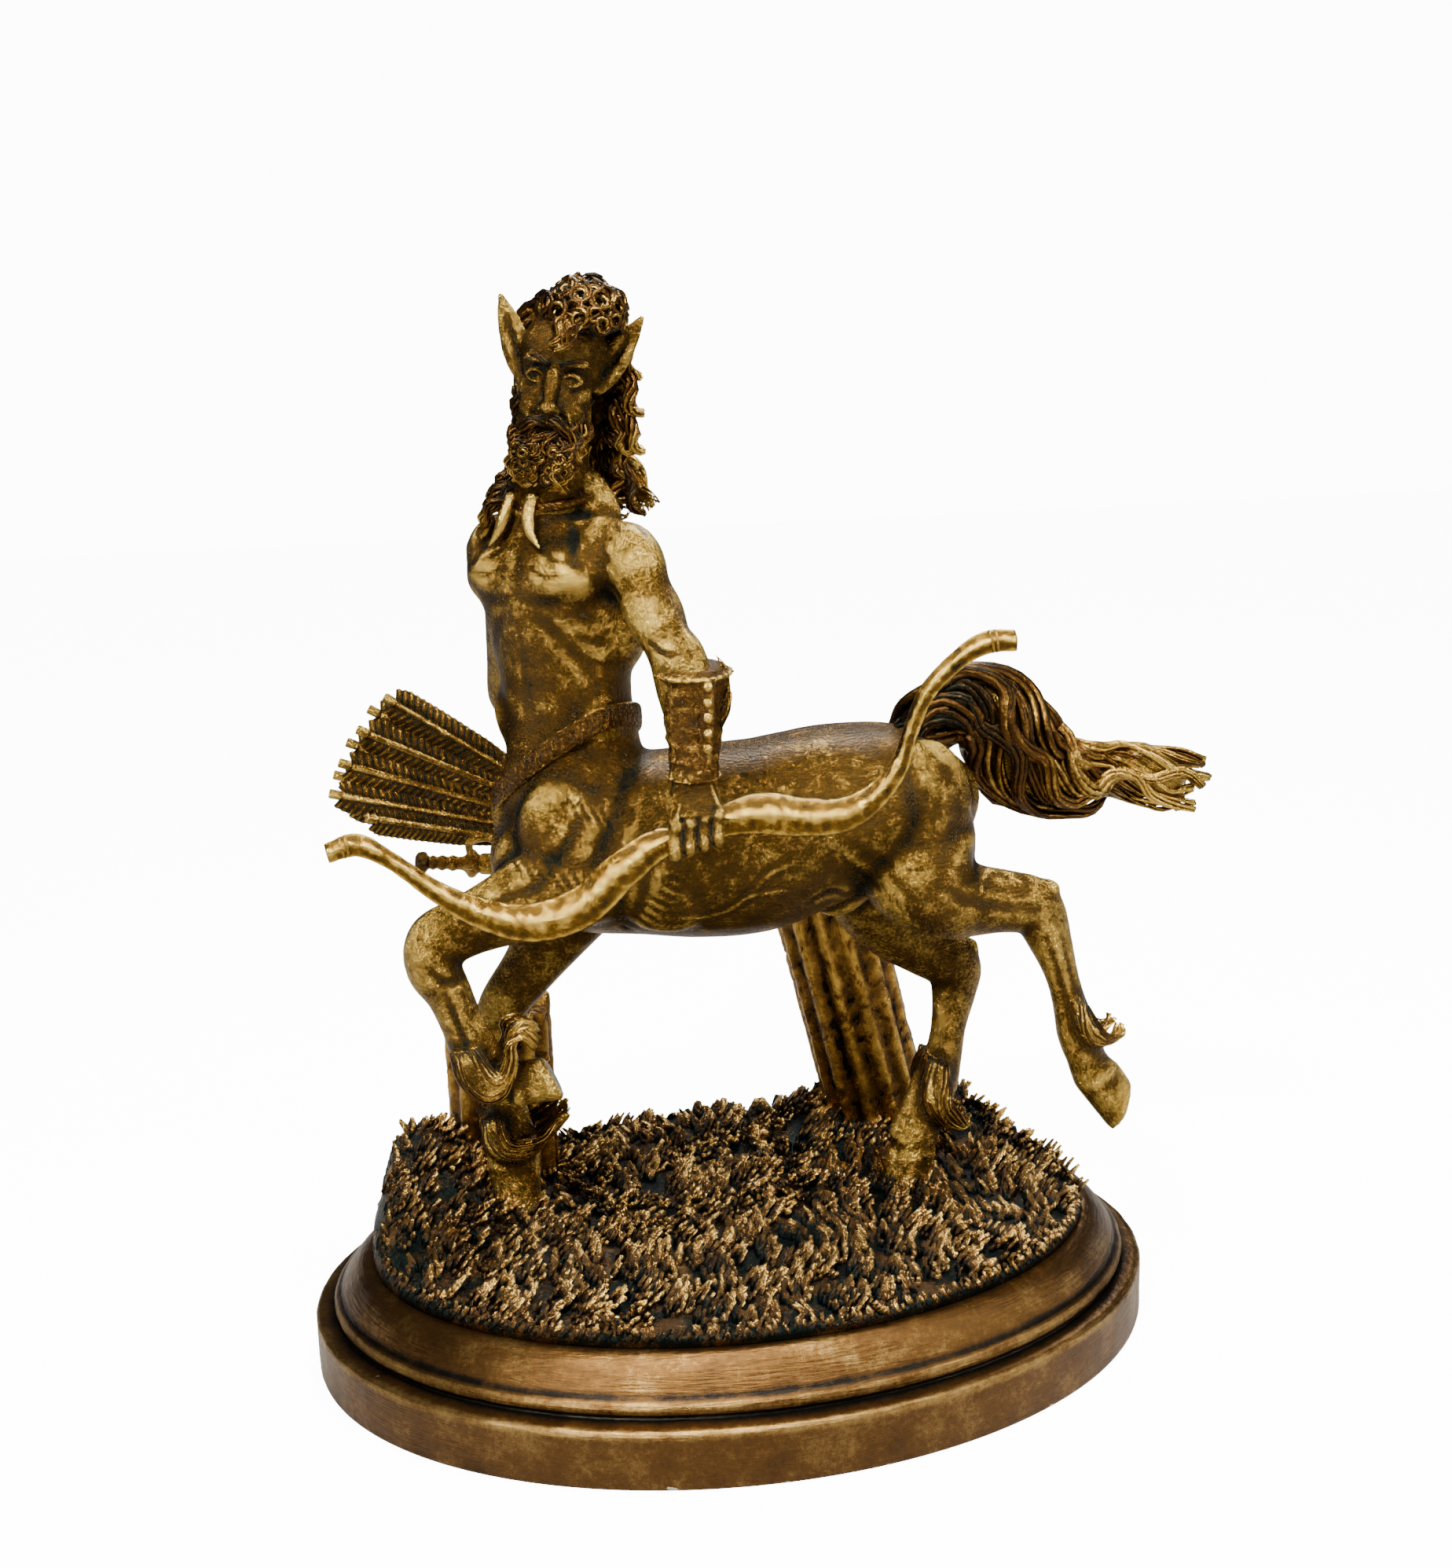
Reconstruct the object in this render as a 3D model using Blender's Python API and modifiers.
"""Centaur statuette: an archer with a bow, cast in one, on a turf ground with two broken
fluted columns, over an oval moulded plinth. Sizes are in metres, +Z is up, and the origin
is on the plinth's underside, below the middle of the oval. +X runs along the oval towards
the tail, and the horse body looks along -X with its left flank towards -Y."""

import math

import bmesh
import bpy
from mathutils import Matrix, Vector, noise

# Plinth: an oval board with a plain band, a bead and a cove
PLINTH_LENGTH = 0.254
PLINTH_WIDTH = 0.186
PLINTH_HEIGHT = 0.031
BAND_HEIGHT = 0.0172
QUIRK_DEPTH = 0.0066
BEAD_HEIGHT = 0.0052
MOULDING_WIDTH = 0.0096
BEAD_INSET = 0.0010
PLINTH_SIDES = 40

# Ground: a turf casting set on the plinth
SEAT_GAP = 0.0003
GROUND_MARGIN = 0.0008
TURF_DEPTH = 0.0034
EDGE_HEIGHT = 0.0024
MOUND_HEIGHT = 0.0300
BANK_HEIGHT = 0.0175
TUSSOCK_HEIGHT = 0.0046
TUSSOCKS = 240
GROUND_RINGS = 9
GROUND_SIDES = 48
GROUND_VOXEL = 0.0013
GROUND_TRIANGLES = 1350

# Columns
STUMP_RADIUS = 0.0170
STUMP_HEIGHT = 0.0580
SHAFT_RADIUS = 0.0170
SHAFT_LENGTH = 0.0880
SHAFT_LEAN = math.radians(13.0)
FLUTES = 13
FLUTE_DEPTH = 0.0016

# Figure: soles to the top of the hair. Its pose is in shares of this height
FIGURE_HEIGHT = 0.2785
POSE_UNITS = 278.5
POSE_SOLE = 34.0
FIGURE_VOXEL = 0.00125
FIGURE_TRIANGLES = 4800

# Gear
BOW_LIMB_WIDTH = 0.0052
BOW_LIMB_THICKNESS = 0.0030
QUIVER_RADIUS = 0.0105
ARROW_RADIUS = 0.0011
GEAR_GAP = 0.0003

# Pose frames
HORSE_MID = -8.0
TORSO_TURN = math.radians(222.7)
HEAD_TURN = math.radians(256.0)
HEAD_TILT = math.radians(-11.0)
HEAD_NOD = math.radians(5.0)
HEAD_CENTRE = Vector((-40.0, -8.0, 285.0))

STAND = PLINTH_HEIGHT + SEAT_GAP + TURF_DEPTH
POSE_SCALE = FIGURE_HEIGHT / POSE_UNITS
STUMP_FOOT = Vector((-67.0 * POSE_SCALE, 35.0 * POSE_SCALE, STAND))
SHAFT_FOOT = Vector((59.5 * POSE_SCALE, 41.0 * POSE_SCALE, STAND))


def pose(point):
    """A pose point, in thousandths of the nominal figure, as a place in metres."""
    x, y, z = point
    return Vector((x, y, z - POSE_SOLE)) * POSE_SCALE + Vector((0, 0, STAND))


def torso(left, front, height):
    """A pose point in the turned frame of the man's torso."""
    lean = 0.035 * (height - 180.0)
    centre = Vector((-40.5 - min(lean, 2.6), -3.0, height))
    forward = Vector((math.cos(TORSO_TURN), math.sin(TORSO_TURN), 0.0))
    side = Vector((-forward.y, forward.x, 0.0))
    return centre + side * left + forward * front


def head(left, front, up):
    """A pose point in the frame of the head, from the middle of the skull."""
    turn = Matrix.Rotation(HEAD_TURN, 3, "Z")
    nod = Matrix.Rotation(HEAD_NOD, 3, "Y")
    tilt = Matrix.Rotation(HEAD_TILT, 3, "X")
    return HEAD_CENTRE + turn @ tilt @ nod @ Vector((front, left, up))


def through(rows, steps):
    """Rows of numbers on a smooth curve through the given rows."""
    rows = [list(row) for row in rows]
    first = [2 * a - b for a, b in zip(rows[0], rows[1])]
    last = [2 * a - b for a, b in zip(rows[-1], rows[-2])]
    ends = [first, *rows, last]
    found = []
    for k in range(1, len(ends) - 2):
        a, b, c, d = ends[k - 1 : k + 3]
        for s in range(steps):
            t = s / steps
            found.append([
                0.5 * (2 * q + (r - p) * t + (2 * p - 5 * q + 4 * r - w) * t * t
                       + (3 * q - p - 3 * r + w) * t ** 3)
                for p, q, r, w in zip(a, b, c, d)
            ])
    found.append(rows[-1])
    return found


def loft(bm, rings):
    """Skins closed rings of points into one capped tube."""
    loops = [[bm.verts.new(p) for p in ring] for ring in rings]
    count = len(loops[0])
    for low, high in zip(loops, loops[1:]):
        for k in range(count):
            bm.faces.new((low[k], low[(k + 1) % count], high[(k + 1) % count], high[k]))
    bm.faces.new(reversed(loops[0]))
    bm.faces.new(loops[-1])


def tube_rings(rows, side, sides):
    """Rings along rows of (x, y, z, half width, half depth), the width lying along side."""
    rings = []
    points = [Vector(row[:3]) for row in rows]
    for k, row in enumerate(rows):
        ahead = (points[min(k + 1, len(points) - 1)] - points[max(k - 1, 0)]).normalized()
        across = Vector(side) - ahead * ahead.dot(Vector(side))
        across.normalize()
        other = ahead.cross(across)
        rings.append([
            points[k] + across * row[3] * math.cos(a) + other * row[4] * math.sin(a)
            for a in (2 * math.pi * j / sides for j in range(sides))
        ])
    return rings


def limb(bm, stations, side=(0, 1, 0), sides=12, steps=3):
    """A limb through pose stations (point, half width, half depth)."""
    rows = through([(*point, wide, deep) for point, wide, deep in stations], steps)
    rings = tube_rings(rows, side, sides)
    loft(bm, [[pose(p) for p in ring] for ring in rings])


def lock(bm, points, thick, tip=0.8, sides=7, steps=3):
    """A tapering lock of hair through pose points."""
    last = len(points) - 1
    stations = []
    for k, point in enumerate(points):
        swell = math.sin(math.pi * min(1.0, 0.3 + 0.7 * k / last))
        stations.append((point, max(tip, thick * swell), max(tip, thick * swell * 0.8)))
    limb(bm, stations, side=(0.3, 1, 0.2), sides=sides, steps=steps)


def ball(bm, centre, radii, along=(0, 0, 1), side=(0, 1, 0)):
    """An ellipsoid in pose units: radii across side, across the rest, and along the axis."""
    axis = Vector(along).normalized()
    across = (Vector(side) - axis * axis.dot(Vector(side))).normalized()
    other = axis.cross(across)
    turn = Matrix((across, other, axis)).transposed().to_4x4()
    size = Matrix.Diagonal((*[r * POSE_SCALE for r in radii], 1.0))
    place = Matrix.Translation(pose(centre))
    bmesh.ops.create_uvsphere(bm, u_segments=16, v_segments=10, radius=1.0,
                              matrix=place @ turn @ size)


def muscle(bm, start, end, wide, deep, side=(0, 1, 0)):
    """A spindle-shaped muscle between two pose points."""
    start, end = Vector(start), Vector(end)
    half = (end - start).length / 2
    ball(bm, (start + end) / 2, (wide, deep, half), along=end - start, side=side)


def horse_barrel(bm):
    """Chest, belly, croup and the big muscles on them."""
    sections = (
        (-63, 158, 10, 11), (-56, 156, 19, 17), (-42, 155, 25.5, 21), (-24, 153.7, 26.6, 24),
        (-8, 152.8, 28, 25.5), (8, 153.2, 28.4, 25.5), (22, 156.3, 26.9, 24.5), (33, 158.8, 25.6, 24),
        (48, 160, 23.8, 23), (60, 159, 20, 20), (68, 158, 14, 14), (74, 156, 7, 7),
    )
    limb(bm, [((x, HORSE_MID, z), wide, deep) for x, z, deep, wide in sections], sides=20)
    for out in (-1, 1):
        ball(bm, (-44, HORSE_MID + out * 13, 156), (10, 15, 22), along=(-0.4, 0, 1))
        ball(bm, (-58, HORSE_MID + out * 7, 152), (8, 9, 13), along=(0.2, 0, 1))
        ball(bm, (54, HORSE_MID + out * 12, 157), (11, 16, 24), along=(0.2, 0, 1))
        ball(bm, (63.5, HORSE_MID + out * 9, 150), (9, 9, 17), along=(-0.05, 0, 1))
        ball(bm, (24, HORSE_MID + out * 14, 154), (9, 16, 20), along=(1, 0, 0.15))
        ball(bm, (-18, HORSE_MID + out * 16, 151), (9, 20, 20), along=(1, 0, 0.1))
    ball(bm, (36, HORSE_MID, 134), (6, 6, 10), along=(1, 0, 0.6))


def hoof(bm, mid, wide, coronet_toe, coronet_heel, sole_toe, sole_heel):
    """A hoof between the profile points of its coronet and its sole, at y = mid."""
    rings = []
    for share, grow in ((-0.25, 0.80), (0.0, 0.88), (0.12, 0.86), (0.55, 0.98), (1.0, 1.08)):
        toe = Vector(coronet_toe).lerp(Vector(sole_toe), share)
        heel = Vector(coronet_heel).lerp(Vector(sole_heel), share)
        middle, reach = (toe + heel) / 2, (toe - heel) / 2
        ring = []
        for k in range(14):
            a = 2 * math.pi * k / 14
            spot = middle + reach * math.cos(a)
            narrow = 1.0 - 0.12 * (1 - math.cos(a))
            ring.append(pose((spot.x, mid + wide * grow * math.sin(a) * narrow, spot.y)))
        rings.append(ring)
    loft(bm, rings)


def leg_chain(bm, joints):
    """A leg through (point, half width, half depth) with round joints."""
    limb(bm, joints, sides=12, steps=3)


def fore_legs(bm):
    """The lifted left leg and the standing right leg."""
    left, right = HORSE_MID - 16, HORSE_MID + 12
    leg_chain(bm, [
        ((-34, left + 4, 150), 10, 15), ((-50, left + 1, 147), 10, 13.5),
        ((-64, left, 142), 8.4, 10.6), ((-75, left, 138), 7.2, 8.8),
        ((-83.5, left, 134), 7.2, 8.8), ((-84.8, left, 126.5), 6.8, 8.0),
        ((-81.5, left, 119), 5.6, 6.6), ((-78.4, left, 110), 5.2, 6.2),
        ((-75.2, left, 101), 6.2, 6.8), ((-71.5, left, 94.5), 6.0, 6.4),
        ((-65, left, 91), 6.0, 6.4),
    ])
    ball(bm, (-87, left, 132), (6.2, 6.2, 7.6), along=(0.1, 0, 1))
    hoof(bm, left, 7.0, (-65.5, 84), (-63.5, 97), (-50.5, 85), (-56.5, 97.5))
    for k in range(7):
        out = -1.0 + k / 3.0
        lock(bm, [
            (-80 + abs(out), left + 5.5 * out, 99), (-76, left + 6.8 * out, 91.5),
            (-69, left + 7.2 * out, 92 + 2 * abs(out)), (-65.5, left + 6.4 * out, 100),
            (-61 + 1.5 * math.sin(3 * k), left + 5.4 * out, 107 - 2 * abs(out)),
        ], 2.9, tip=0.9, sides=6, steps=2)
    leg_chain(bm, [
        ((-36, right - 3, 143), 10, 14), ((-47, right - 1, 129), 9, 11.5),
        ((-57.5, right, 115), 7.4, 8.6), ((-65.5, right, 105), 6.6, 7.4),
        ((-68.5, right, 97), 5.8, 6.4), ((-68, right, 84), 4.6, 5.2),
        ((-66.5, right, 72), 5.2, 6.0), ((-65.8, right, 64), 6.0, 7.0),
        ((-65.8, right, 56), 6.2, 7.2),
    ])
    hoof(bm, right, 7.6, (-74, 57), (-57.5, 55.5), (-71.5, 33.6), (-57.8, 41))
    for k in range(8):
        out = -1.0 + 2 * k / 7.0
        lock(bm, [
            (-74, right + 5.5 * out, 70), (-73.5, right + 7.4 * out, 61),
            (-66, right + 8.4 * out, 57.5), (-58, right + 7.2 * out, 61 + 2 * math.sin(2 * k)),
            (-51.5, right + 5.8 * out, 65.5 + 3 * math.sin(2 * k)),
        ], 2.8, tip=0.9, sides=6, steps=2)


def hind_legs(bm):
    """The trailing left leg and the standing right leg."""
    left, right = HORSE_MID - 13, HORSE_MID + 12
    leg_chain(bm, [
        ((52, left + 4, 158), 12, 19), ((55, left, 143), 11.5, 18),
        ((63, left - 1, 134), 9.6, 13), ((71.5, left, 132), 8.2, 10.8),
        ((81, left, 130.8), 7.2, 9.4), ((89.5, left, 128), 6.8, 8.6),
        ((94.3, left, 117.5), 5.6, 6.6), ((97.8, left, 107), 4.6, 5.1),
        ((100.3, left, 98), 4.8, 5.2), ((103, left, 88.5), 6.0, 6.4),
        ((106, left, 79.5), 5.4, 6.0), ((109, left, 74.5), 6.0, 6.6),
    ])
    ball(bm, (92.5, left, 134), (4.6, 4.4, 6), along=(0.7, 0, 0.6))
    ball(bm, (50, left + 3, 138), (9, 9, 13), along=(0.4, 0, -1))
    hoof(bm, left, 7.2, (101.8, 71.8), (115.5, 78), (113.6, 56), (120, 71))
    for k in range(6):
        out = -1.0 + 2 * k / 5.0
        lock(bm, [
            (103, left + 4.6 * out, 97), (106.5, left + 6.4 * out, 90),
            (111.5, left + 5.4 * out, 87), (115.4, left + 3.6 * out, 84.5 + 2 * math.sin(3 * k)),
        ], 2.8, tip=1.0, sides=6, steps=2)
    leg_chain(bm, [
        ((46, right - 5, 150), 12, 17), ((46, right - 1, 133), 11, 15),
        ((53, right + 1, 120), 9, 12), ((63, right + 1, 111), 7.4, 9.6),
        ((72.5, right + 1, 104), 6.8, 8.6), ((72.6, right + 1, 95.5), 5.8, 7.2),
        ((70.8, right + 1, 84.5), 5.0, 5.6), ((68.7, right, 75), 5.2, 6.0),
        ((65.8, right, 66), 6.2, 7.4), ((61.5, right - 1, 57.5), 6.0, 7.2),
        ((57.5, right - 2, 48.5), 6.8, 8.0),
    ])
    ball(bm, (77.5, right + 1, 108), (4.6, 4.2, 5.6), along=(0.5, 0, 0.8))
    hoof(bm, right - 3, 7.6, (49.5, 47), (65.5, 46.5), (47, 33.4), (63, 36))
    for k in range(7):
        out = -1.0 + 2 * k / 6.0
        lock(bm, [
            (66, right + 4.6 * out, 71), (62, right + 7.2 * out - 1, 60),
            (68, right + 7.4 * out, 54), (77 - 2 * abs(out), right + 5.4 * out, 48 + 2 * math.sin(2 * k)),
        ], 2.9, tip=1.0, sides=6, steps=2)


TAIL_PATH = (
    ((52, HORSE_MID, 175), 5.0), ((58, HORSE_MID, 180), 6.4), ((65.3, HORSE_MID, 186), 8.8),
    ((75.5, HORSE_MID + 1, 187.5), 11.6), ((83, HORSE_MID + 2, 180.6), 13.2),
    ((90, HORSE_MID + 2, 170.7), 14.0), ((99, HORSE_MID + 2, 164.0), 13.4),
    ((108.6, HORSE_MID + 2, 162.6), 10.6), ((116.8, HORSE_MID + 2, 163.3), 7.6),
    ((126.2, HORSE_MID + 2, 163.8), 9.2), ((137.5, HORSE_MID + 2, 161.6), 10.4),
    ((148, HORSE_MID + 2, 158.0), 9.0),
)


def tail(bm):
    """Streaming tail: a core with twisted locks wound on it."""
    limb(bm, [(p, r * 0.62, r * 0.78) for p, r in TAIL_PATH], sides=10, steps=2)
    rows = through([(*p, r) for p, r in TAIL_PATH], 3)
    count = 9
    for k in range(count):
        points = []
        for j in range(0, len(rows), 3):
            x, y, z, r = rows[j]
            ahead = Vector(rows[min(j + 1, len(rows) - 1)][:3]) - Vector(rows[max(j - 1, 0)][:3])
            ahead.normalize()
            other = ahead.cross(Vector((0, 1, 0))).normalized()
            turn = 2 * math.pi * k / count + 2.6 * j / len(rows)
            points.append(Vector((x, y, z)) + other * r * 0.72 * math.sin(turn)
                          + Vector((0, 1, 0)) * r * 0.6 * math.cos(turn))
        points[-1] += Vector((4 * math.sin(2.1 * k), 0, 2.5 * math.cos(1.7 * k)))
        lock(bm, points, 3.6, tip=1.1, sides=6, steps=2)


def man_torso(bm):
    """The man's trunk from the horse's shoulders to the neck."""
    forward = torso(0, 1, 200) - torso(0, 0, 200)
    side = torso(1, 0, 200) - torso(0, 0, 200)
    sections = (
        (150, 19, 18, 0), (163, 21.5, 19.5, 1), (175, 21, 18, 1), (186, 19.5, 16, 0),
        (196, 18.5, 14.5, 0), (208, 19.5, 15.5, 0), (220, 21.5, 16.5, 0), (231, 22, 16, 0),
        (240, 19, 13, -1), (247, 13, 10, -2), (254, 10, 9, -2),
    )
    limb(bm, [(torso(0, shift, z), wide, deep) for z, wide, deep, shift in sections],
         side=side, sides=18)
    for out in (-1, 1):
        ball(bm, torso(out * 10.5, 9.5, 231), (11.0, 7.0, 8.6), side=side)
        ball(bm, torso(out * 17, 5, 235), (8, 7, 8), side=side)
        ball(bm, torso(out * 18, -4, 220), (6, 9.5, 16), side=side)
        ball(bm, torso(out * 11, -10, 232), (9, 6, 11), side=side)
        ball(bm, torso(out * 5, -11.5, 200), (4.5, 4.5, 20), side=side)
        ball(bm, torso(out * 15, 6, 191), (6.5, 8, 10), side=side)
        muscle(bm, torso(out * 2, -5, 262), torso(out * 20, -3, 242), 5.5, 5, side=forward)
        muscle(bm, torso(out * 2, 8, 245), torso(out * 21, 3, 245), 2.6, 2.2, side=forward)
        for k in range(4):
            ball(bm, torso(out * 4.6, 13.4 - 0.25 * k, 215 - 8.6 * k), (4.6, 3.2, 4.5), side=side)
        for k in range(3):
            muscle(bm, torso(out * 19, 3, 224 - 6 * k), torso(out * 14, 11, 219 - 6 * k), 2.6, 2.2)
    ball(bm, torso(-2, 4, 169), (21, 17.5, 19), side=side)
    ball(bm, torso(-13, 8, 164), (11, 12, 13), side=side)
    ball(bm, torso(-14, 9, 230), (10, 8, 12), side=side)
    ball(bm, torso(-12.5, 6, 207), (8.5, 10, 16), side=side)
    limb(bm, [((-43.5, -2, 242), 13, 12), ((-44.0, -3, 252), 11.2, 10.6), ((-43.6, -4, 263), 10.4, 10),
              ((-41.5, -3, 280), 10, 10)], side=side, sides=12)
    for out in (-1, 1):
        muscle(bm, torso(out * 2.5, 7.5, 246), head(out * 8, -2, -8), 2.8, 2.8)


def hand(bm, wrist, knuckles, curl, spread, side):
    """A fist: a palm, a thumb and four fingers that bend round from the knuckles."""
    wrist, knuckles = Vector(wrist), Vector(knuckles)
    curl, side = Vector(curl).normalized(), Vector(side).normalized()
    down = (knuckles - wrist).normalized()
    limb(bm, [(wrist, 5.2, 4.0), ((wrist + knuckles) / 2, 6.6, 3.4), (knuckles, 7.4, 3.0)],
         side=side, sides=10, steps=2)
    for k in range(4):
        root = knuckles + side * spread * (k - 1.5)
        limb(bm, [
            (root - down * 1.5, 2.0, 2.1), (root + down * 4.0 + curl * 0.2, 1.9, 1.9),
            (root + down * 8.2 + curl * 1.6, 1.8, 1.8), (root + down * 9.4 + curl * 5.2, 1.7, 1.7),
            (root + down * 7.4 + curl * 9.0, 1.6, 1.6),
        ], side=side, sides=7, steps=2)
    limb(bm, [
        (wrist - side * 3.5 + curl * 1.5, 2.6, 2.6), (wrist - side * 5.6 + down * 6 + curl * 5, 2.4, 2.4),
        (knuckles - side * 4.5 + down * 0.5 + curl * 9.5, 2.0, 2.0),
        (knuckles + down * 4.5 + curl * 11.0, 1.8, 1.8),
    ], side=down, sides=7, steps=2)


SHOULDER_LEFT = (-27.5, -20.5, 239.5)
ELBOW_LEFT = (-16.5, -36.5, 211.0)
WRIST_LEFT = (-13.0, -43.0, 181.0)
KNUCKLES_LEFT = (-14.0, -49.5, 169.5)
SHOULDER_RIGHT = (-56.0, 15.0, 239.5)
ELBOW_RIGHT = (-56.5, 39.0, 191.0)
WRIST_RIGHT = (-42.0, 24.0, 181.0)


def arm(bm, shoulder, elbow, wrist, front):
    """Upper arm and forearm with their main muscles. front points to the biceps side."""
    shoulder, elbow, wrist, front = (Vector(v) for v in (shoulder, elbow, wrist, front))
    limb(bm, [
        (shoulder, 7.6, 7.6), (shoulder.lerp(elbow, 0.35), 7.2, 7.2),
        (shoulder.lerp(elbow, 0.75), 6.8, 7.0), (elbow, 6.8, 7.0),
        (elbow.lerp(wrist, 0.3), 6.4, 6.8), (elbow.lerp(wrist, 0.7), 4.8, 5.0), (wrist, 4.0, 4.4),
    ], side=front, sides=12)
    muscle(bm, shoulder + Vector((0, 0, 6.5)), shoulder.lerp(elbow, 0.55), 8.8, 8.8, side=front)
    muscle(bm, shoulder.lerp(elbow, 0.28) + front * 3.8, shoulder.lerp(elbow, 1.0) + front * 2,
           5.4, 6.2, side=front)
    muscle(bm, shoulder.lerp(elbow, 0.22) - front * 4, shoulder.lerp(elbow, 0.95) - front * 3.8,
           5.6, 6.4, side=front)


def arms(bm):
    """The left arm reaches down to the bow, and the right hand rests behind the hip."""
    arm(bm, SHOULDER_LEFT, ELBOW_LEFT, WRIST_LEFT, (-0.75, -0.6, 0.0))
    muscle(bm, Vector(ELBOW_LEFT) + Vector((3, 0, 8)), Vector(WRIST_LEFT) + Vector((1, 0, 8)), 6.4, 6.4)
    hand(bm, WRIST_LEFT, KNUCKLES_LEFT, (0, 1, 0.1), 3.9, (1, 0, 0.25))
    arm(bm, SHOULDER_RIGHT, ELBOW_RIGHT, WRIST_RIGHT, (-0.1, -0.95, 0.2))
    hand(bm, WRIST_RIGHT, (-35, 17, 177), (0.6, -0.6, -0.4), 3.2, (0.1, -0.3, -1))


def bracer(bm):
    """Leather guard laced on the left forearm, flared towards the elbow."""
    top, foot = Vector((-11.8, -38.5, 207)), Vector((-13.0, -42.8, 181))
    limb(bm, [
        (top + Vector((0, 0, 0.8)), 9.0, 8.6), (top - Vector((0, 0, 1.6)), 9.8, 9.4),
        (top.lerp(foot, 0.25), 8.4, 8.2), (top.lerp(foot, 0.6), 7.2, 7.2), (foot, 6.6, 6.4),
    ], side=(1, 0, 0), sides=14)
    for k in range(5):
        place = top.lerp(foot, 0.16 + 0.17 * k) + Vector((2.6, -8.3 + 0.45 * k, 0))
        ball(bm, place, (1.3, 1.3, 1.3))


def skull(bm):
    """Head, face, ears, beard and moustache."""
    left_way = head(1, 0, 0) - head(0, 0, 0)
    up_way = head(0, 0, 1) - head(0, 0, 0)
    front_way = head(0, 1, 0) - head(0, 0, 0)
    ball(bm, head(0, -2.5, 5), (11.6, 14.5, 13.5), along=up_way, side=left_way)
    ball(bm, head(0, 4, -4), (9.6, 9.4, 15), along=up_way, side=left_way)
    ball(bm, head(0, 9.5, -15), (5, 4, 4.5), along=up_way, side=left_way)
    muscle(bm, head(0, 12.2, 3.5), head(0, 15.8, -8.2), 2.0, 2.4, side=left_way)
    ball(bm, head(0, 14.6, -7.6), (3.3, 2.6, 2.2), along=up_way, side=left_way)
    for out in (-1, 1):
        muscle(bm, head(out * 0.8, 12.6, 4.6), head(out * 9.0, 8.8, 5.6), 1.9, 1.8, side=up_way)
        ball(bm, head(out * 4.8, 9.6, 0.4), (2.7, 2.6, 2.2), along=up_way, side=left_way)
        ball(bm, head(out * 6.6, 7.6, -4.5), (3.6, 4.0, 3.2), along=up_way, side=left_way)
        limb(bm, [
            (head(out * 9.6, 0, -1.0), 3.4, 1.8), (head(out * 12.5, -1.2, 4.0), 4.6, 1.6),
            (head(out * 15.8, -2.6, 11.0), 3.4, 1.4), (head(out * 19.6, -3.4, 18.5), 1.5, 1.2),
        ], side=left_way * 0.85 - up_way * 0.5 * out + front_way * 0.1, sides=8)
        lock(bm, [head(out * 0.8, 13.8, -10.6), head(out * 4.5, 13.6, -11.6),
                  head(out * 7.8, 11.6, -15.5), head(out * 9.0, 9.6, -20)], 2.2, tip=0.9)
        lock(bm, [head(out * 2.6, 12.0, -13.0), head(out * 4.6, 13.6, -19.0), head(out * 5.4, 13.4, -24.5),
                  head(out * 4.8, 11.8, -29.5)], 4.4, tip=2.2, sides=8)
        for k in range(2):
            spread = 6.4 + 2.0 * k
            lock(bm, [
                head(out * spread, 9.8 - 2.2 * k, -10.0 + 3.0 * k),
                head(out * (spread + 0.8), 10.6 - 2.4 * k, -16.5 + 2.0 * k),
                head(out * spread, 10.4 - 2.0 * k, -22.5 + 2.0 * k),
            ], 3.0, tip=1.2)


def hair(bm):
    """Curled crest on top of the head, forelock, and long locks down the back of the neck."""
    left_way = head(1, 0, 0) - head(0, 0, 0)
    up_way = head(0, 0, 1) - head(0, 0, 0)
    middle, size = Vector((4.5, -0.5, 16.5)), Vector((9.4, 9.9, 8.0))
    ball(bm, head(*middle), size, along=up_way, side=left_way)
    for k in range(26):
        rise = 0.98 - 1.05 * (k + 0.5) / 26
        turn = k * math.pi * (3 - math.sqrt(5))
        flat = math.sqrt(1 - rise * rise)
        spot = head(middle.x + size.x * flat * math.cos(turn), middle.y + size.y * flat * math.sin(turn),
                    middle.z + size.z * rise)
        ball(bm, spot, (2.9, 2.9, 2.6), along=spot - head(*middle))
    for side in (-0.8, 2.4):
        lock(bm, [head(side + 1.2, 9.6, 16.5), head(side + 0.6, 12.4, 12.5), head(side, 12.9, 8.0)], 2.0, tip=1.0)
    for k in range(11):
        share = k / 10
        wave = math.sin(2.4 * k)
        lock(bm, [
            (-46 + 17 * share, 3 + 3 * math.sin(3 * share), 300 - 3 * share),
            (-49 + 22.5 * share, 8 - 7 * share, 284 + wave),
            (-48 + 23.5 * share, 9 - 9 * share, 271 + wave),
            (-47 + 23 * share, 8.5 - 9 * share, 262 - wave),
            (-43 + 21.5 * share, 8 - 10 * share, 254 - wave),
            (-38 + 22.5 * share, 8 - 11 * share, 249 + 1.5 * wave),
        ], 4.4, tip=1.1)


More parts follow.
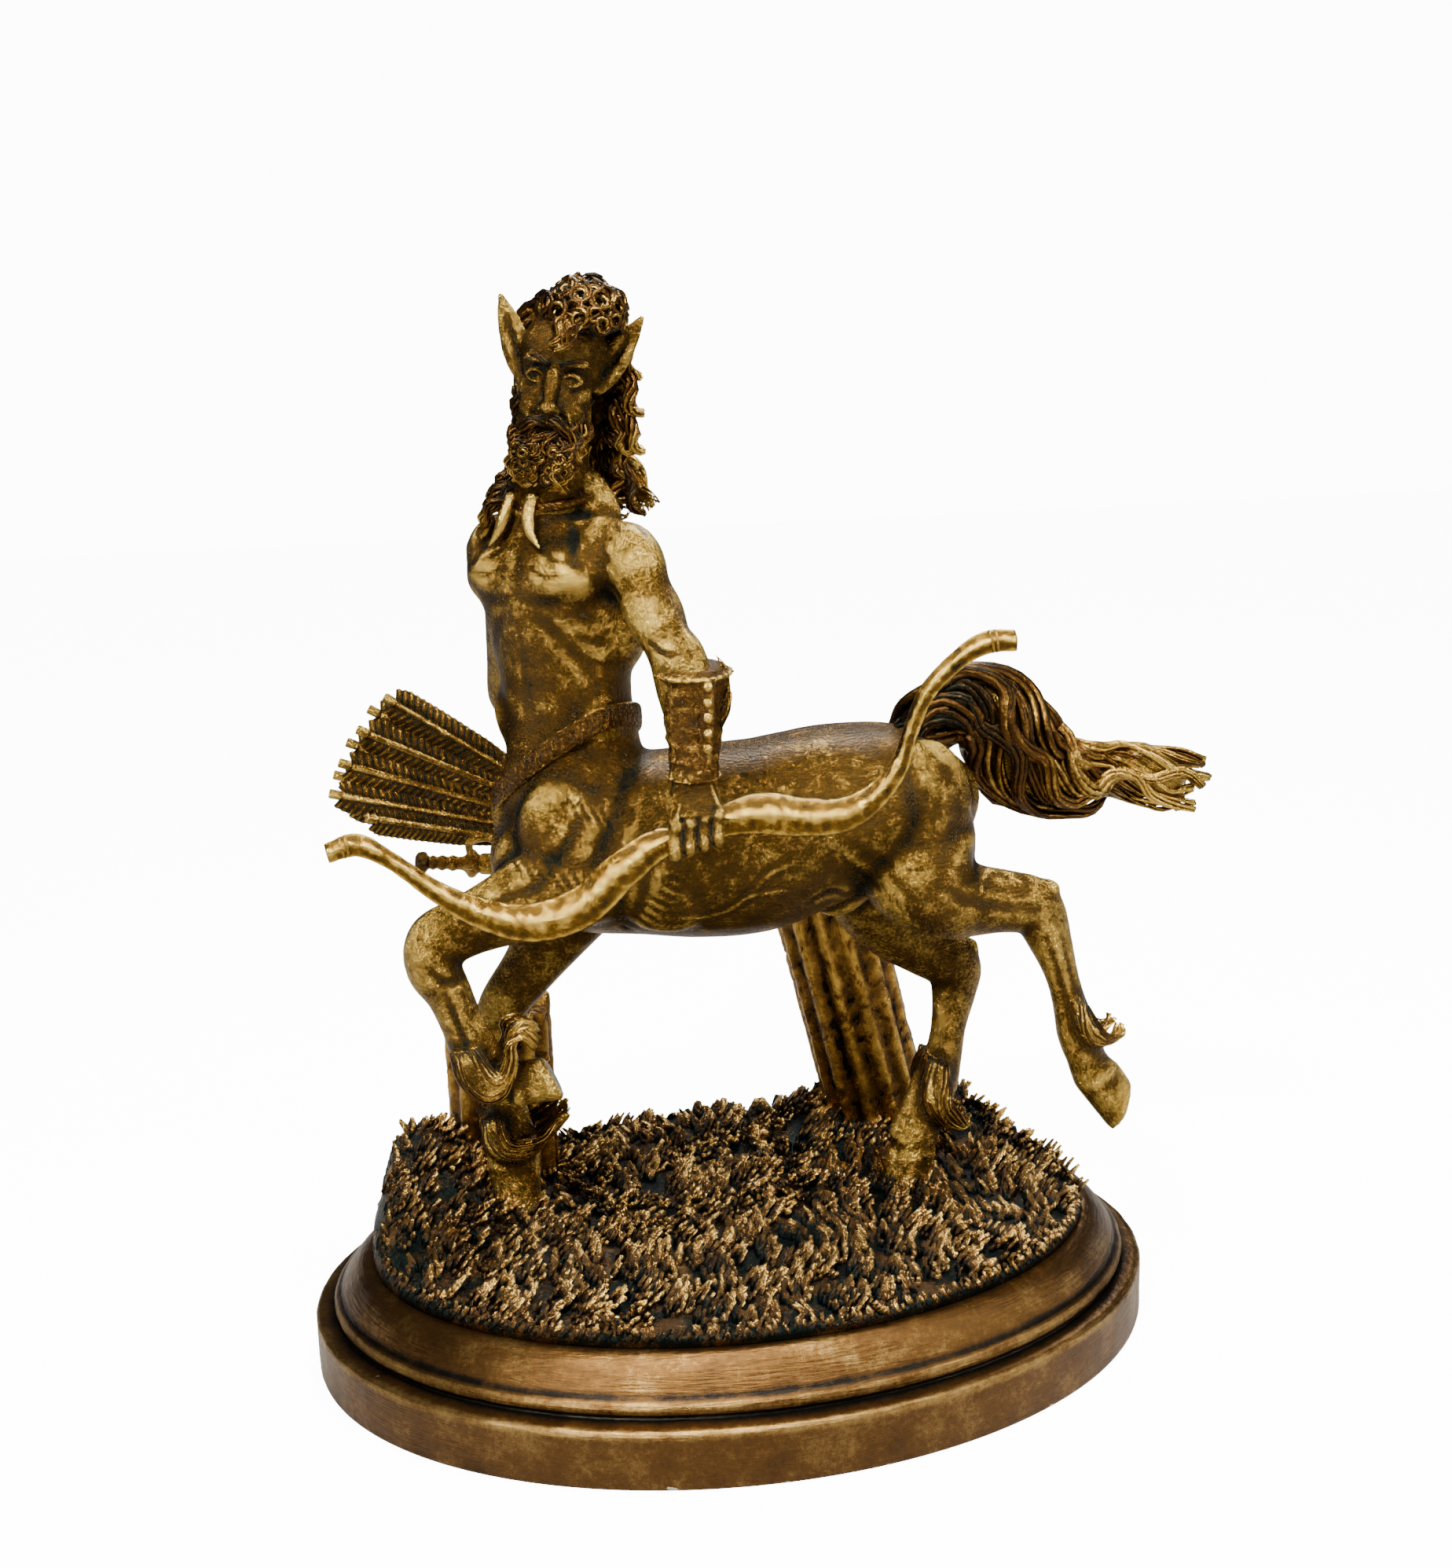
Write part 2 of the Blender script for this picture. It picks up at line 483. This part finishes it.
def necklace(bm):
    """Twisted cord with two long claws, on the collar of the chest."""
    ring = []
    for k in range(15):
        a = 2 * math.pi * k / 14
        ring.append((torso(12.2 * math.sin(a), -1 + 11.6 * math.cos(a), 252.5 - 2.5 * math.cos(a)), 1.5, 1.5))
    limb(bm, ring, side=(0, 0, 1), sides=6, steps=1)
    for left, bend in ((-6.5, -1.0), (0.5, 1.0)):
        front = 11.5 - 0.03 * left * left
        lock(bm, [torso(left, front, 253), torso(left + 0.4 * bend, front + 3.0, 248.5),
                  torso(left + 2.0 * bend, front + 4.2, 244), torso(left + 5.4 * bend, front + 5.0, 240)],
             2.1, tip=0.8, sides=6)
    for k in range(4):
        lock(bm, [torso(-9 - k, 2 - 2 * k, 254 + k), torso(-13 - k, 3 - 2 * k, 252 + 1.5 * k),
                  torso(-16.5 - k, 3.5 - 2 * k, 248 + k)], 2.6, tip=0.9, sides=6)


def belt(bm):
    """Broad baldric round the waist, high on the left hip and low on the right flank."""
    ring = []
    for k in range(21):
        a = 2 * math.pi * k / 20
        ring.append((torso(22.0 * math.sin(a), -1.5 + 19.4 * math.cos(a),
                           180.0 + 15.0 * math.sin(a)), 3.3, 1.1))
    limb(bm, ring, side=(0, 0, 1), sides=8, steps=1)


def new_object(name, mesh, collection):
    """Links a mesh as an object."""
    obj = bpy.data.objects.new(name, mesh)
    collection.objects.link(obj)
    return obj


def mesh_from(bm, name):
    """Turns a bmesh into a mesh with its faces pointing out."""
    bmesh.ops.recalc_face_normals(bm, faces=bm.faces)
    mesh = bpy.data.meshes.new(name)
    bm.to_mesh(mesh)
    bm.free()
    return mesh


def baked(obj):
    """Replaces an object's mesh by what its modifiers make of it."""
    graph = bpy.context.evaluated_depsgraph_get()
    mesh = bpy.data.meshes.new_from_object(obj.evaluated_get(graph))
    obj.modifiers.clear()
    obj.data = mesh
    return obj


def fused(bm, name, voxel, relax, triangles, collection):
    """Melts overlapping forms into one closed skin and thins it to a number of triangles."""
    obj = new_object(name, mesh_from(bm, name), collection)
    remesh = obj.modifiers.new("Melt", "REMESH")
    remesh.mode = "VOXEL"
    remesh.voxel_size = voxel
    if relax:
        smooth = obj.modifiers.new("Relax", "SMOOTH")
        smooth.factor = 0.5
        smooth.iterations = relax
    baked(obj)
    obj.data.calc_loop_triangles()
    thin = obj.modifiers.new("Thin", "DECIMATE")
    thin.ratio = min(1.0, triangles / len(obj.data.loop_triangles))
    thin.use_collapse_triangulate = True
    return baked(obj)


def cut_with(obj, cutter):
    """Takes the cutter's volume out of an object."""
    cutter.hide_render = True
    cutter.display_type = "WIRE"
    cut = obj.modifiers.new("Cut", "BOOLEAN")
    cut.operation = "DIFFERENCE"
    cut.object = cutter
    cut.solver = "EXACT"
    return baked(obj)


def clear_of(obj, other, gap, cutters):
    """Cuts obj back so that it stays a gap away from other."""
    cutter = new_object("cutter_" + obj.name + "_" + other.name, other.data.copy(), cutters)
    grow = cutter.modifiers.new("Grow", "DISPLACE")
    grow.mid_level = 0.0
    grow.strength = gap
    return cut_with(obj, cutter)


def make_centaur(collection):
    """The figure: horse body, man's trunk, arms, head, hair, tail and what is cast on them."""
    bm = bmesh.new()
    for form in (horse_barrel, fore_legs, hind_legs, tail, man_torso, arms, bracer, skull,
                 hair, necklace, belt):
        form(bm)
    return fused(bm, "centaur", FIGURE_VOXEL, 1, FIGURE_TRIANGLES, collection)


BOW_PATH = (
    ((-110, -46, 167), 0.50), ((-102, -46, 168.5), 0.58), ((-93.5, -46, 163.4), 0.44),
    ((-82, -46, 153.9), 0.56), ((-70, -46, 146.9), 0.80), ((-58, -46, 143.9), 1.0),
    ((-45.3, -46, 147), 1.08), ((-34.4, -46, 156), 1.0), ((-24.6, -45, 162), 0.80),
    ((-14.5, -44, 163.6), 0.52), ((-4.5, -44.5, 167.5), 0.85), ((5, -45.5, 168.6), 1.08),
    ((15, -46, 167), 1.02), ((26.5, -46, 166.8), 0.88), ((35.7, -46, 171.6), 0.66),
    ((42.4, -46, 179.8), 0.52), ((45.8, -46, 189.3), 0.46), ((50.5, -46, 199.2), 0.46),
    ((59, -46, 207.2), 0.50), ((66.7, -46, 211.2), 0.60), ((75, -46, 211.4), 0.56),
)


def make_bow(collection):
    """Recurved bow held at its grip."""
    bm = bmesh.new()
    rows = through([(*p, BOW_LIMB_WIDTH / POSE_SCALE * w, BOW_LIMB_THICKNESS / POSE_SCALE * w)
                    for p, w in BOW_PATH], 2)
    rings = tube_rings(rows, (0, 0.35, 1), 8)
    loft(bm, [[pose(p) for p in ring] for ring in rings])
    return new_object("bow", mesh_from(bm, "bow"), collection)


QUIVER_MOUTH = (-54.0, 29.0, 156.0)
QUIVER_FOOT = (2.0, 30.0, 127.0)
NOCKS = ((-93, 194), (-98, 190), (-101.5, 185), (-105, 180.5), (-107.5, 175.5), (-109.5, 171),
         (-111, 166.5), (-107, 162), (-101, 158.5))


def make_quiver(collection):
    """Quiver of arrows on the right flank, with a sheathed dagger strapped below it."""
    bm = bmesh.new()
    mouth, foot = Vector(QUIVER_MOUTH), Vector(QUIVER_FOOT)
    ahead = (mouth - foot).normalized()
    up = Vector((0, 1, 0)).cross(ahead).normalized()
    if up.z < 0:
        up = -up
    wide = QUIVER_RADIUS / POSE_SCALE
    limb(bm, [(foot - ahead * 2, wide * 0.5, wide * 0.45), (foot, wide * 0.75, wide * 0.7),
              (foot.lerp(mouth, 0.6), wide * 0.9, wide * 0.8), (mouth, wide * 1.08, wide * 0.88)],
         side=up, sides=12)
    thick = ARROW_RADIUS / POSE_SCALE
    for k, (x, z) in enumerate(NOCKS):
        nock = Vector((x, 27 + 5 * (k % 2), z))
        start = mouth + up * wide * 0.75 * (1 - k / 4) - ahead * 4
        limb(bm, [(start, thick, thick), (nock, thick, thick)], side=up, sides=6, steps=1)
        ball(bm, nock, (1.6, 1.6, 1.8), along=nock - start)
        for way in (1, -1):
            lift = (nock - start).cross(Vector((0, 1, 0.25 * way))).normalized() * way
            low, high = start.lerp(nock, 0.22), start.lerp(nock, 0.93)
            limb(bm, [(low + lift * 0.4, 0.7, 0.7), (low.lerp(high, 0.25) + lift * 2.2, 2.5, 0.7),
                      (low.lerp(high, 0.9) + lift * 2.6, 2.8, 0.7), (high + lift * 3.0, 1.6, 0.7)],
                 side=lift, sides=6, steps=2)
    hilt, point = Vector((-88.5, 24, 144.6)), Vector((-12, 26, 136))
    limb(bm, [(hilt, 2.6, 2.6), (hilt.lerp(point, 0.05), 3.0, 3.0), (hilt.lerp(point, 0.08), 1.9, 1.9),
              (hilt.lerp(point, 0.18), 2.3, 2.3), (hilt.lerp(point, 0.22), 4.2, 3.0),
              (hilt.lerp(point, 0.27), 3.4, 2.6), (point, 1.6, 1.6)], sides=9)
    lock(bm, [(-72, 24, 146), (-71.5, 23.4, 149.6), (-66, 23, 149.8), (-62.5, 23, 145), (-64, 23, 141.5)],
         1.7, tip=1.2)
    for share in (0.5, 0.85):
        low = hilt.lerp(point, share)
        limb(bm, [(low, 2.2, 1.4), (low + Vector((2, 3.0, 9)), 2.2, 1.4)], side=(1, 0, 0), sides=6, steps=1)
    return fused(bm, "quiver", 0.0007, 0, 1000, collection)


def oval(length, width, inset, height, sides):
    """A ring of points on the plinth's oval, drawn in by inset."""
    return [Vector(((length / 2 - inset) * math.cos(a), (width / 2 - inset) * math.sin(a), height))
            for a in (2 * math.pi * k / sides for k in range(sides))]


def make_plinth(collection):
    """Oval board: plain band, quirk, bead, sloping ovolo and flat top."""
    bead_top = BAND_HEIGHT + BEAD_HEIGHT
    rise = PLINTH_HEIGHT - bead_top
    inner = QUIRK_DEPTH + BEAD_INSET
    profile = [(0.0, 0.0), (0.0, BAND_HEIGHT - 0.0014), (0.0009, BAND_HEIGHT - 0.0002),
               (QUIRK_DEPTH, BAND_HEIGHT), (QUIRK_DEPTH - 0.0008, BAND_HEIGHT + BEAD_HEIGHT * 0.45),
               (inner, bead_top)]
    profile += [(inner + MOULDING_WIDTH * across, bead_top + rise * up)
                for across, up in ((0.28, 0.42), (0.60, 0.76), (1.0, 1.0))]
    bm = bmesh.new()
    loft(bm, [oval(PLINTH_LENGTH, PLINTH_WIDTH, inset, z, PLINTH_SIDES) for inset, z in profile])
    return new_object("plinth", mesh_from(bm, "plinth"), collection)


def turf_height(x, y):
    """Rise of the mound and of the bank over the flat turf."""
    left, right = STUMP_FOOT, SHAFT_FOOT
    mound = MOUND_HEIGHT * math.exp(-((x - left.x + 0.033) / 0.030) ** 2 - ((y - left.y + 0.012) / 0.032) ** 2)
    bank = BANK_HEIGHT * math.exp(-((x - right.x - 0.010) / 0.040) ** 4 - ((y - right.y - 0.006) / 0.022) ** 2)
    return mound + bank


def ground_oval():
    """Length and width of the turf, which stays inside the plinth's flat top."""
    setback = QUIRK_DEPTH + BEAD_INSET + MOULDING_WIDTH + GROUND_MARGIN
    return PLINTH_LENGTH - 2 * setback, PLINTH_WIDTH - 2 * setback


def turf_top(x, y):
    """Height of the smooth turf over its seat."""
    length, width = ground_oval()
    share = min(1.0, math.hypot(2 * x / length, 2 * y / width))
    return EDGE_HEIGHT + TURF_DEPTH * (1.0 - share ** 3) + turf_height(x, y) * (1.0 - 0.8 * share ** 18)


def make_ground(collection, cutters):
    """Turf casting with a mound under the stump, a bank behind the leaning shaft, and tussocks."""
    bm = bmesh.new()
    seat = PLINTH_HEIGHT + SEAT_GAP
    length, width = ground_oval()
    rings = [oval(length, width, 0.0, seat - 0.003, GROUND_SIDES)]
    for k in range(GROUND_RINGS):
        share = 1.0 - k / GROUND_RINGS
        rings.append([Vector((p.x * share, p.y * share, seat + turf_top(p.x * share, p.y * share)))
                      for p in oval(length, width, 0.0008, 0.0, GROUND_SIDES)])
    loft(bm, rings)
    for k in range(TUSSOCKS):
        share = math.sqrt((k + 0.5) / TUSSOCKS) * 0.955
        turn = k * math.pi * (3 - math.sqrt(5))
        x, y = length / 2 * share * math.cos(turn), width / 2 * share * math.sin(turn)
        size = TUSSOCK_HEIGHT * (0.75 + 0.45 * math.sin(4.1 * k) ** 2)
        lean = Vector((0.5 * math.sin(2.3 * k) + 0.25 * x / length, 0.5 * math.sin(1.7 * k) - 0.25, 1.0)).normalized()
        across = Vector((math.cos(1.3 * k), math.sin(1.3 * k), 0.0)).cross(lean).normalized()
        turned = Matrix((across, lean.cross(across), lean)).transposed().to_4x4()
        place = Matrix.Translation(Vector((x, y, seat + turf_top(x, y) - size * 0.25)))
        shape = Matrix.Diagonal((size * 0.62, size * 0.38, size, 1.0))
        bmesh.ops.create_uvsphere(bm, u_segments=8, v_segments=6, radius=1.0, matrix=place @ turned @ shape)
    ground = fused(bm, "ground", GROUND_VOXEL, 0, GROUND_TRIANGLES, collection)
    bm = bmesh.new()
    bmesh.ops.create_cube(bm, size=1.0, matrix=Matrix.Translation((0, 0, seat - 0.01))
                          @ Matrix.Diagonal((PLINTH_LENGTH, PLINTH_WIDTH, 0.02, 1.0)))
    below = new_object("cutter_seat", mesh_from(bm, "cutter_seat"), cutters)
    return cut_with(ground, below)


def fluted_shaft(bm, foot, lean, radius, low, high, chips):
    """A fluted shaft about its leaning axis, from low to high, with a broken top."""
    axis = Vector((-math.sin(lean), 0, math.cos(lean)))
    across = Vector((math.cos(lean), 0, math.sin(lean)))
    other = Vector((0, 1, 0))
    rings = []
    levels = 4
    for k in range(levels + 2):
        ring = []
        for j in range(FLUTES * 4):
            a = 2 * math.pi * j / (FLUTES * 4)
            depth = FLUTE_DEPTH * (0.0, 0.85, 1.0, 0.85)[j % 4]
            r = radius - depth
            height = low + (high - low) * min(k, levels) / levels
            if k >= levels:
                height += chips * noise.noise(Vector((math.cos(a), math.sin(a), high * 40)) * 1.7)
            if k == levels + 1:
                r *= 0.55
                height += chips * 0.35
            ring.append(foot + axis * height + across * r * math.cos(a) + other * r * math.sin(a))
        rings.append(ring)
    loft(bm, rings)


def make_columns(collection):
    """An upright stump on the mound and a longer leaning shaft behind the hind legs."""
    bm = bmesh.new()
    fluted_shaft(bm, STUMP_FOOT, 0.0, STUMP_RADIUS, -0.0005, STUMP_HEIGHT, 0.006)
    stump = new_object("column_stump", mesh_from(bm, "column_stump"), collection)
    bm = bmesh.new()
    fluted_shaft(bm, SHAFT_FOOT, SHAFT_LEAN, SHAFT_RADIUS, 0.0022, SHAFT_LENGTH, 0.006)
    shaft = new_object("leaning_column", mesh_from(bm, "leaning_column"), collection)
    return stump, shaft


def painted(obj, name, colour, roughness, metallic):
    """Gives an object its own Principled material."""
    material = bpy.data.materials.new(name)
    material.use_nodes = True
    shader = material.node_tree.nodes["Principled BSDF"]
    shader.inputs["Base Color"].default_value = (*colour, 1.0)
    shader.inputs["Roughness"].default_value = roughness
    shader.inputs["Metallic"].default_value = metallic
    obj.data.materials.clear()
    obj.data.materials.append(material)


def main():
    """Clears the scene and builds every piece."""
    for obj in list(bpy.data.objects):
        bpy.data.objects.remove(obj)
    scene = bpy.context.scene
    parts = bpy.data.collections.new("centaur_statue")
    cutters = bpy.data.collections.new("cutters")
    scene.collection.children.link(parts)
    scene.collection.children.link(cutters)
    cutters.hide_render = True
    plinth = make_plinth(parts)
    ground = make_ground(parts, cutters)
    stump, shaft = make_columns(parts)
    centaur = make_centaur(parts)
    bow = make_bow(parts)
    quiver = make_quiver(parts)
    clear_of(centaur, bow, GEAR_GAP, cutters)
    clear_of(quiver, centaur, GEAR_GAP, cutters)
    clear_of(ground, centaur, GEAR_GAP, cutters)
    clear_of(ground, stump, GEAR_GAP, cutters)
    clear_of(ground, shaft, GEAR_GAP, cutters)
    for obj in (centaur, bow, quiver):
        obj.data.shade_smooth()
    painted(plinth, "brown_bronze", (0.16, 0.09, 0.045), 0.38, 0.8)
    painted(ground, "turf_bronze", (0.14, 0.085, 0.035), 0.42, 0.8)
    painted(stump, "column_bronze", (0.17, 0.10, 0.03), 0.40, 0.85)
    painted(shaft, "shaft_bronze", (0.17, 0.10, 0.03), 0.40, 0.85)
    painted(centaur, "gilt_bronze", (0.30, 0.20, 0.055), 0.33, 0.9)
    painted(bow, "bow_bronze", (0.28, 0.17, 0.05), 0.32, 0.9)
    painted(quiver, "quiver_bronze", (0.22, 0.15, 0.05), 0.36, 0.9)


main()
